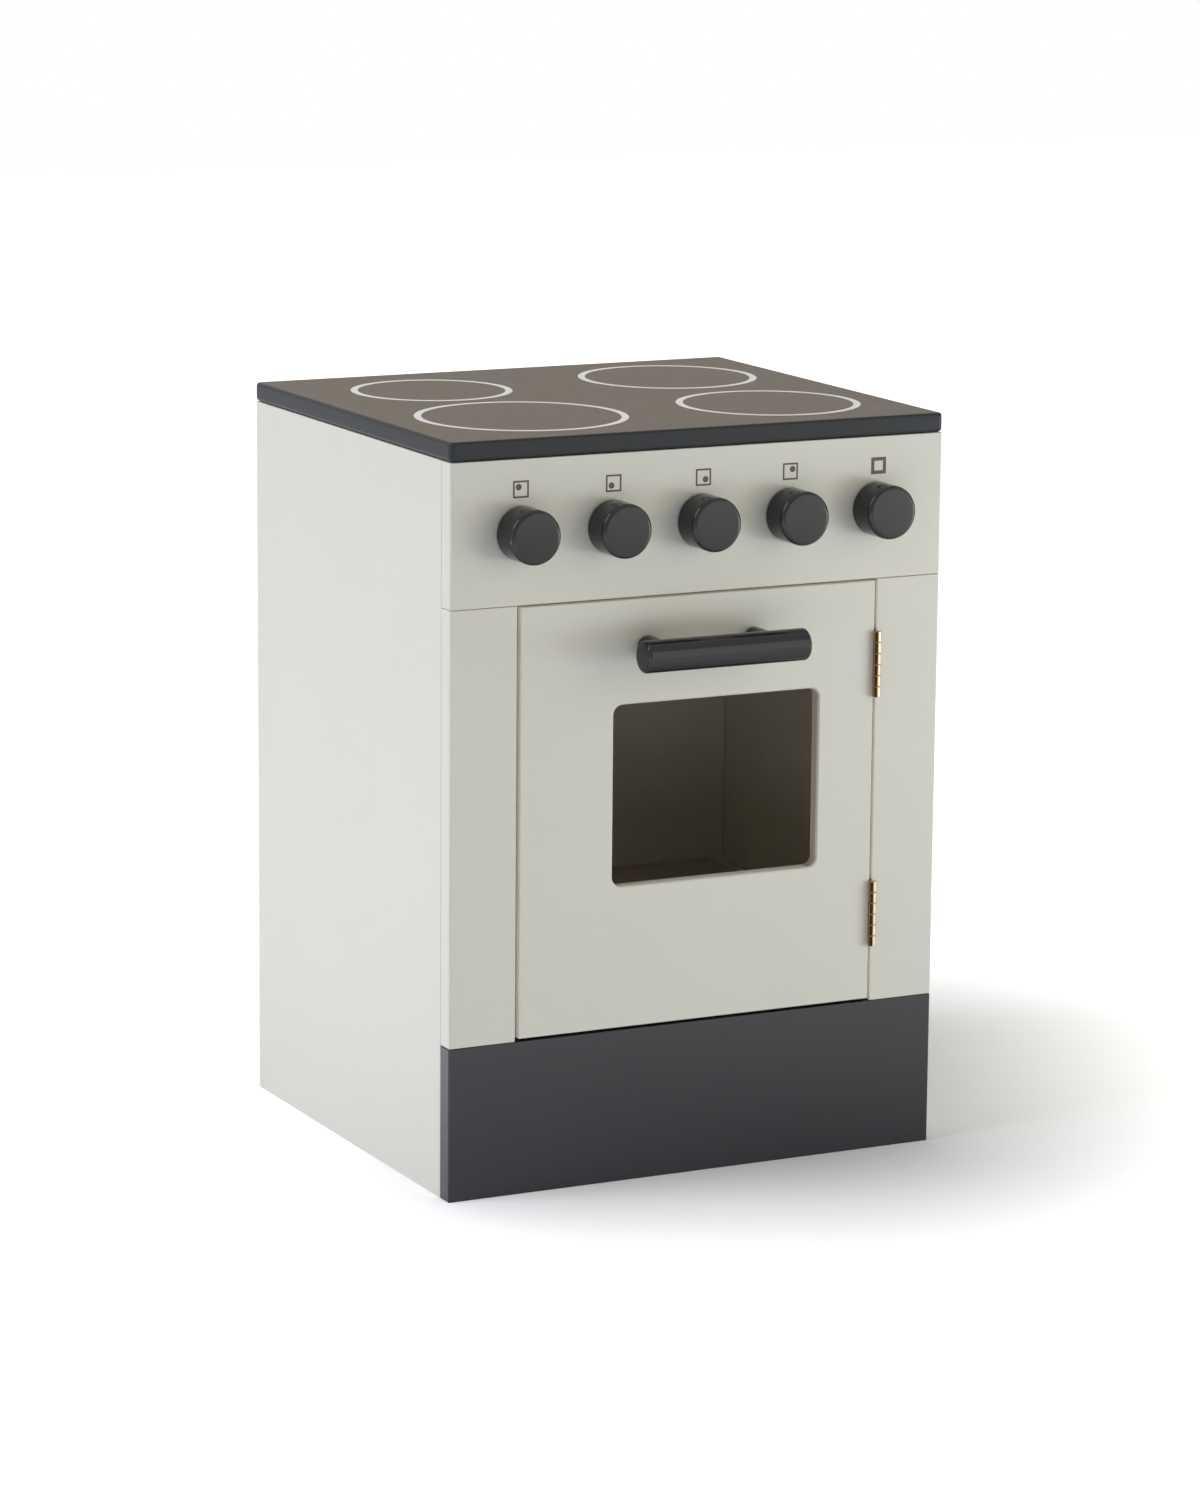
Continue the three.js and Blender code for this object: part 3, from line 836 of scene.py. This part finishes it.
def leaf_screws(which, word):
    axis = hinge_axis(which)[0]
    side, _, body = LEAVES[word]
    for number in (1, 2):
        node = f"hinge_{which}_{word}_screw_{number}"
        place = middle_of(node)
        place.x = axis.x + side * LEAF_INNER
        mesh = moved(sunk_screw(*LEAF_SCREW), place, TO_LEFT if side > 0 else TO_RIGHT)
        piece(f"hinge_{which}_{word}_fixing_{number}", mesh, body, BRASS, [node])


def hinge_rod(which):
    axis, length = hinge_axis(which)
    half = length / 2
    profile = [
        (0, -half),
        (PIN_RADIUS - PIN_EASE, -half),
        (PIN_RADIUS, PIN_EASE - half),
        (PIN_RADIUS, half - PIN_EASE),
        (PIN_RADIUS - PIN_EASE, half),
        (0, half),
    ]
    mesh = moved(turned(profile, SMALL_FACETS), axis)
    piece(f"hinge_{which}_rod", mesh, CABINET, BRASS, [f"hinge_{which}_pin"])


def hinges():
    for which in HINGES:
        for word in LEAVES:
            hinge_leaf(which, word)
            leaf_screws(which, word)
        hinge_rod(which)


# Door


def rounded_rectangle(low, high, radius):
    """Corner points from low x and z round anticlockwise, CORNER_STEPS + 1 to a corner."""
    corners = [
        (low[0] + radius, low[1] + radius, 2),
        (high[0] - radius, low[1] + radius, 3),
        (high[0] - radius, high[1] - radius, 0),
        (low[0] + radius, high[1] - radius, 1),
    ]
    points = []
    for x, z, start in corners:
        points += fillet(x, z, radius, start, CORNER_STEPS)
    return points


def door_board():
    low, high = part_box("door_panel")
    right, top = high.x - WINDOW_FROM_HINGE, high.z - WINDOW_FROM_TOP
    left, bottom = right - WINDOW_WIDTH, top - WINDOW_HEIGHT
    window = rounded_rectangle((left, bottom), (right, top), WINDOW_CORNER)
    outline = rounded_rectangle((low.x, low.z), (high.x, high.z), DOOR_CORNER)
    bm = bmesh.new()
    weight = bm.edges.layers.float.new("bevel_weight_edge")
    loops = pierced_plate(bm, outline, window, low.y, high.y)
    for (key, level), verts in loops.items():
        radius = WINDOW_EDGE if key == "hole" else SOFT_EDGE
        for one, two in zip(verts, verts[1:] + verts[:1]):
            bm.edges.get((one, two))[weight] = radius / WINDOW_EDGE
    mesh = rounded(mesh_of(bm), WINDOW_EDGE, segments=5)
    cutters = [hinge_pocket(which, "door") for which in HINGES]
    for side in SIDES:
        screw = middle_of(f"handle_screw_{side}")
        hole = rod(HANDLE_HOLE, -DRILL_REACH, DRILL_REACH)
        cutters.append(moved(hole, (screw.x, FRONT, screw.z), TO_FRONT))
    made = piece("door_board", carved(mesh, cutters), DOOR, PALE, ["door_panel"])

    def in_window(centre):
        return left < centre.x < right and bottom < centre.z < top

    def edgewise(normal):
        return abs(normal.y) < 1 - SQUARE_ON

    # The door's edges take the lighter edge paint, partly painted light in the gaps
    repaint(made, LIT_BOARD_EDGE, lambda centre, normal: edgewise(normal) and not in_window(centre))
    repaint(made, REVEAL, lambda centre, normal: edgewise(normal) and in_window(centre))


def handle_post(side):
    low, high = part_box(f"handle_post_{side}")
    width, length = (high.x - low.x) / 2, high.y - low.y
    profile = [
        (0, 0),
        (width - POST_EASE, 0),
        (width, POST_EASE),
        (width, length - POST_EASE),
        (width - POST_EASE, length),
        (0, length),
    ]
    place = ((low.x + high.x) / 2, high.y, (low.z + high.z) / 2)
    mesh = moved(turned(profile, POST_FACETS), place, TO_FRONT)
    piece(f"post_{side}", mesh, DOOR, TURNED_SHADED, [f"handle_post_{side}"])


def post_socket(side, behind_bar):
    """What a post needs cut out of the bar, from the post's front end to behind the bar."""
    low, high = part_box(f"handle_post_{side}")
    width = (high.x - low.x) / 2 + SOCKET_CLEARANCE
    place = ((low.x + high.x) / 2, low.y - SOCKET_CLEARANCE, (low.z + high.z) / 2)
    return moved(rod(width, 0, behind_bar - low.y, POST_FACETS), place, TO_BACK)


def handle_screw(side):
    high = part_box(f"handle_screw_{side}")[1]
    middle = middle_of(f"handle_screw_{side}")
    place = (middle.x, high.y - HANDLE_HEAD_HEIGHT, middle.z)
    mesh = moved(pan_screw(*HANDLE_SCREW, HANDLE_HEAD_HEIGHT), place, TO_BACK)
    piece(f"door_screw_{side}", mesh, DOOR, ZINC, [f"handle_screw_{side}"])


def handle_bar():
    low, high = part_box("handle_bar")
    half, radius = (high.x - low.x) / 2, (high.z - low.z) / 2
    inner = radius - BAR_RIM
    profile = [
        (0, -half),
        *fillet(inner, BAR_RIM - half, BAR_RIM, -1),
        *fillet(inner, half - BAR_RIM, BAR_RIM, 0),
        (0, half),
    ]
    middle = middle_of("handle_bar")
    behind_bar = middle.y + radius + SOCKET_OVERCUT
    sockets = [post_socket(side, behind_bar) for side in SIDES]
    bar = carved(moved(turned(profile), middle, TO_RIGHT), sockets)
    piece("bar", bar, DOOR, TURNED_SHADED, ["handle_bar"])


def handle():
    for side in SIDES:
        handle_post(side)
        handle_screw(side)
    handle_bar()


# Catch


def magnet_and_block():
    low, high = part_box("catch_magnet")
    radius, length = (high.x - low.x) / 2, high.y - low.y
    flat = radius - MAGNET_EASE
    profile = [(0, 0), (flat, 0), (radius, MAGNET_EASE), (radius, length), (0, length)]
    place = ((low.x + high.x) / 2, low.y, (low.z + high.z) / 2)
    mesh = moved(turned(profile, POST_FACETS), place, TO_BACK)
    piece("magnet", mesh, CABINET, NICKEL, ["catch_magnet"])
    bore = rod(radius + MAGNET_CLEARANCE, -DRILL_REACH, length + MAGNET_CLEARANCE, POST_FACETS)
    mesh = carved(block(*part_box("catch_block"), SOFT_EDGE), [moved(bore, place, TO_BACK)])
    piece("stop_block", mesh, CABINET, PALE, ["catch_block"])


def strike_plate():
    low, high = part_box("strike_plate")
    radius, thick = (high.x - low.x) / 2, high.y - low.y
    profile = [
        (0, 0),
        (radius, 0),
        (radius, thick - STRIKE_EASE),
        (radius - STRIKE_EASE, thick),
        (STRIKE_SINK, thick),
        (STRIKE_SINK_FLOOR, thick - STRIKE_SINK_DEPTH),
        (0, thick - STRIKE_SINK_DEPTH),
    ]
    middle = middle_of("strike_plate")
    mesh = moved(turned(profile, POST_FACETS), (middle.x, low.y, middle.z), TO_BACK)
    piece("strike_disc", mesh, DOOR, ZINC, ["strike_plate"])
    mesh = moved(sunk_screw(*STRIKE_SCREW), (middle.x, high.y, middle.z), TO_BACK)
    piece("strike_fixing", mesh, DOOR, ZINC, ["strike_screw"])


# Knobs


def knobs():
    for index in KNOBS:
        node = f"knob_{index}"
        low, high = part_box(node)
        radius, length = (high.z - low.z) / 2, high.y - low.y
        profile = [
            (0, KNOB_BORE_DEPTH),
            (KNOB_BORE, KNOB_BORE_DEPTH),
            (KNOB_BORE, 0),
            *fillet(radius - KNOB_BACK_EDGE, KNOB_BACK_EDGE, KNOB_BACK_EDGE, -1),
            *fillet(radius - KNOB_RIM, length - KNOB_RIM, KNOB_RIM, 0, steps=8),
            (0, length),
        ]
        middle = middle_of(node)
        mesh = moved(turned(profile), (middle.x, high.y, middle.z), TO_FRONT)
        piece(f"turned_knob_{index}", mesh, f"turning_knob_{index}", TURNED_SHADED, [node])


# CAD nodes that stay


def dress(node, material):
    """Gives a CAD node its look."""
    mesh = frame["nodes"][node].data
    mesh.materials.clear()
    mesh.materials.append(material)


def hidden_pieces():
    for side in SIDES:
        dress(f"top_cleat_{side}", BARE_WOOD)
        for number in (1, 2):
            dress(f"top_cleat_{side}_screw_{number}", ZINC)
    for index in KNOBS:
        dress(f"knob_{index}_screw", ZINC)
        dress(f"knob_{index}_washer", ZINC)


# Stage


# Light levels. The floor glows only for the camera and for mirror rays: faintly in the shadow's
# core, so that the shadow stays, and from there over FADE_LENGTH up to the backdrop's white.
# The dim core and its fade, placed and turned along the shadow, are a painted shadow on the floor
# round the cast one. SHADOW_CORE is half the width and depth of that core, which is turned by
# SHADOW_TURN degrees.
WHITE = (1, 1, 1, 1)
FLOOR_PAINT = (0.9, 0.9, 0.895, 1)
FLOOR_ROUGHNESS = 0.9
FLOOR_SPECULAR = 0.1
FLOOR_GLOW = 0.01
BACKDROP_WHITE = 1.0
FADE_LENGTH = 0.454
SHADOW_CORE = (0.05, 0.119, 0)
SHADOW_CENTRE = (0.086, 0.028, 0)
SHADOW_TURN = -25.6
FLOOR_REACH = 6.0
SKY_LIGHT = 0.22


def vector_step(tree, operation, source, other=None, result="Vector"):
    node = tree.nodes.new("ShaderNodeVectorMath")
    node.operation = operation
    tree.links.new(source, node.inputs[0])
    if other:
        node.inputs[1].default_value = other
    return node.outputs[result]


def floor_glow(tree):
    """Glow by the distance on the floor from the shadow's core, a turned rectangle: a painted
    shadow.
    """
    where = tree.nodes.new("ShaderNodeTexCoord")
    placed = tree.nodes.new("ShaderNodeMapping")
    placed.vector_type = "TEXTURE"
    placed.inputs["Location"].default_value = SHADOW_CENTRE
    placed.inputs["Rotation"].default_value = (0, 0, math.radians(SHADOW_TURN))
    tree.links.new(where.outputs["Object"], placed.inputs["Vector"])
    folded = vector_step(tree, "ABSOLUTE", placed.outputs["Vector"])
    beyond = vector_step(tree, "SUBTRACT", folded, SHADOW_CORE)
    outside = vector_step(tree, "MAXIMUM", beyond, (0, 0, 0))
    distance = vector_step(tree, "LENGTH", outside, result="Value")
    fade = tree.nodes.new("ShaderNodeMapRange")
    fade.interpolation_type = "SMOOTHSTEP"
    fade.inputs["From Min"].default_value = 0.0
    fade.inputs["From Max"].default_value = FADE_LENGTH
    fade.inputs["To Min"].default_value = FLOOR_GLOW
    fade.inputs["To Max"].default_value = BACKDROP_WHITE
    tree.links.new(distance, fade.inputs["Value"])
    return fade.outputs["Result"]


def math_step(tree, operation, one, two):
    node = tree.nodes.new("ShaderNodeMath")
    node.operation = operation
    tree.links.new(one, node.inputs[0])
    tree.links.new(two, node.inputs[1])
    return node.outputs[0]


def seen_directly(tree):
    """1 for the camera's rays, mirror rays and rays that pass through."""
    path = tree.nodes.new("ShaderNodeLightPath")
    total = path.outputs["Is Camera Ray"]
    for kind in ("Is Glossy Ray", "Is Transmission Ray"):
        total = math_step(tree, "MAXIMUM", total, path.outputs[kind])
    return total


def floor():
    bm = bmesh.new()
    bmesh.ops.create_grid(bm, x_segments=1, y_segments=1, size=FLOOR_REACH)
    made = linked("floor", mesh_of(bm))
    material, tree, shader = node_material("floor_white")
    shader.inputs["Base Color"].default_value = FLOOR_PAINT
    shader.inputs["Roughness"].default_value = FLOOR_ROUGHNESS
    shader.inputs["Specular IOR Level"].default_value = FLOOR_SPECULAR
    glow = tree.nodes.new("ShaderNodeEmission")
    glow.inputs["Color"].default_value = WHITE
    level = math_step(tree, "MULTIPLY", seen_directly(tree), floor_glow(tree))
    tree.links.new(level, glow.inputs["Strength"])
    both = tree.nodes.new("ShaderNodeAddShader")
    tree.links.new(shader.outputs[0], both.inputs[0])
    tree.links.new(glow.outputs[0], both.inputs[1])
    tree.links.new(both.outputs[0], tree.nodes["Material Output"].inputs["Surface"])
    made.data.materials.append(material)


def world():
    """White where it is seen directly, and a plain soft light for everything else."""
    sky = bpy.data.worlds.new("studio")
    bpy.context.scene.world = sky
    sky.use_nodes = True
    tree = sky.node_tree
    tree.nodes.clear()
    out = tree.nodes.new("ShaderNodeOutputWorld")
    mix = tree.nodes.new("ShaderNodeMixShader")
    tree.links.new(seen_directly(tree), mix.inputs["Fac"])
    for place, strength in ((1, SKY_LIGHT), (2, BACKDROP_WHITE)):
        background = tree.nodes.new("ShaderNodeBackground")
        background.inputs["Color"].default_value = WHITE
        background.inputs["Strength"].default_value = strength
        tree.links.new(background.outputs[0], mix.inputs[place])
    tree.links.new(mix.outputs[0], out.inputs["Surface"])


AIM = (0, 0, 0.22)
LOW_AIM = (0, 0, 0.14)
PLAIN = (1, 1, 1)
COOL = (0.845, 0.87, 1.0)
WARM = (1.0, 0.95, 0.74)
FLOOR_TINT = (0.74, 0.81, 1.0)

# Soft lamps by name, place, aim, width and height, watts and tint
LAMPS = [
    ("left_key", (-1.6, 0.0, 1.7), AIM, (1.1, 1.1), 18.5, COOL),
    ("left_near_soft", (-1.0, 0.3, 0.08), LOW_AIM, (1.0, 0.14), 2.1, COOL),
    ("left_low_soft", (-2.3, -0.15, 0.5), AIM, (1.8, 1.2), 4.5, COOL),
    ("left_back_soft", (-0.6, 0.9, 1.6), AIM, (1.0, 1.0), 2.0, PLAIN),
    ("back_soft", (0.0, 0.5, 2.0), AIM, (1.2, 1.2), 3.8, PLAIN),
    ("right_soft", (1.1, -1.3, 0.7), AIM, (1.6, 1.3), 9.0, WARM),
    ("right_low_soft", (1.15, -1.0, 0.17), LOW_AIM, (0.8, 0.3), 5.2, FLOOR_TINT),
    ("front_low_soft", (-0.35, -0.85, 0.13), LOW_AIM, (0.8, 0.2), 0.7, FLOOR_TINT),
]


def lamps():
    for name, place, aim, size, watts, tint in LAMPS:
        data = bpy.data.lights.new(name, "AREA")
        data.shape = "RECTANGLE"
        data.size, data.size_y = size
        data.energy = watts
        data.color = tint
        made = linked(name, data)
        made.location = place
        way = Vector(aim) - Vector(place)
        made.rotation_euler = way.to_track_quat("-Z", "Y").to_euler()


# Camera: place, turns in degrees, focal length in pixels of a picture this high, and sensor in
# millimetres
CAMERA_PLACE = (-1.3895, -2.77285, 0.86804)
CAMERA_TURNS = (26.561, 11.571, 0.498)
PICTURE_HEIGHT = 1500
FOCAL_PIXELS = 5214.5
SENSOR = 36.0
FARTHEST = 100


def camera():
    """Yaw turns the camera to the right, pitch tips it down and roll leans it."""
    yaw, pitch, roll = (math.radians(angle) for angle in CAMERA_TURNS)
    level = math.cos(pitch)
    look = Vector((math.sin(yaw) * level, math.cos(yaw) * level, -math.sin(pitch)))
    right = Vector((math.cos(yaw), -math.sin(yaw), 0))
    up = right.cross(look)
    rolled_right = math.cos(roll) * right + math.sin(roll) * up
    rolled_up = -math.sin(roll) * right + math.cos(roll) * up
    data = bpy.data.cameras.new("camera")
    data.sensor_width = SENSOR
    data.lens = FOCAL_PIXELS / PICTURE_HEIGHT * SENSOR
    data.clip_end = FARTHEST
    made = linked("camera", data)
    turn = Matrix((rolled_right, rolled_up, -look)).transposed().to_4x4()
    made.matrix_world = Matrix.Translation(CAMERA_PLACE) @ turn
    bpy.context.scene.camera = made


body_boards()
hob()
icons()
hinges()
door_board()
handle()
magnet_and_block()
strike_plate()
knobs()
hidden_pieces()
floor()
world()
lamps()
camera()

bpy.context.scene.view_settings.view_transform = "Standard"
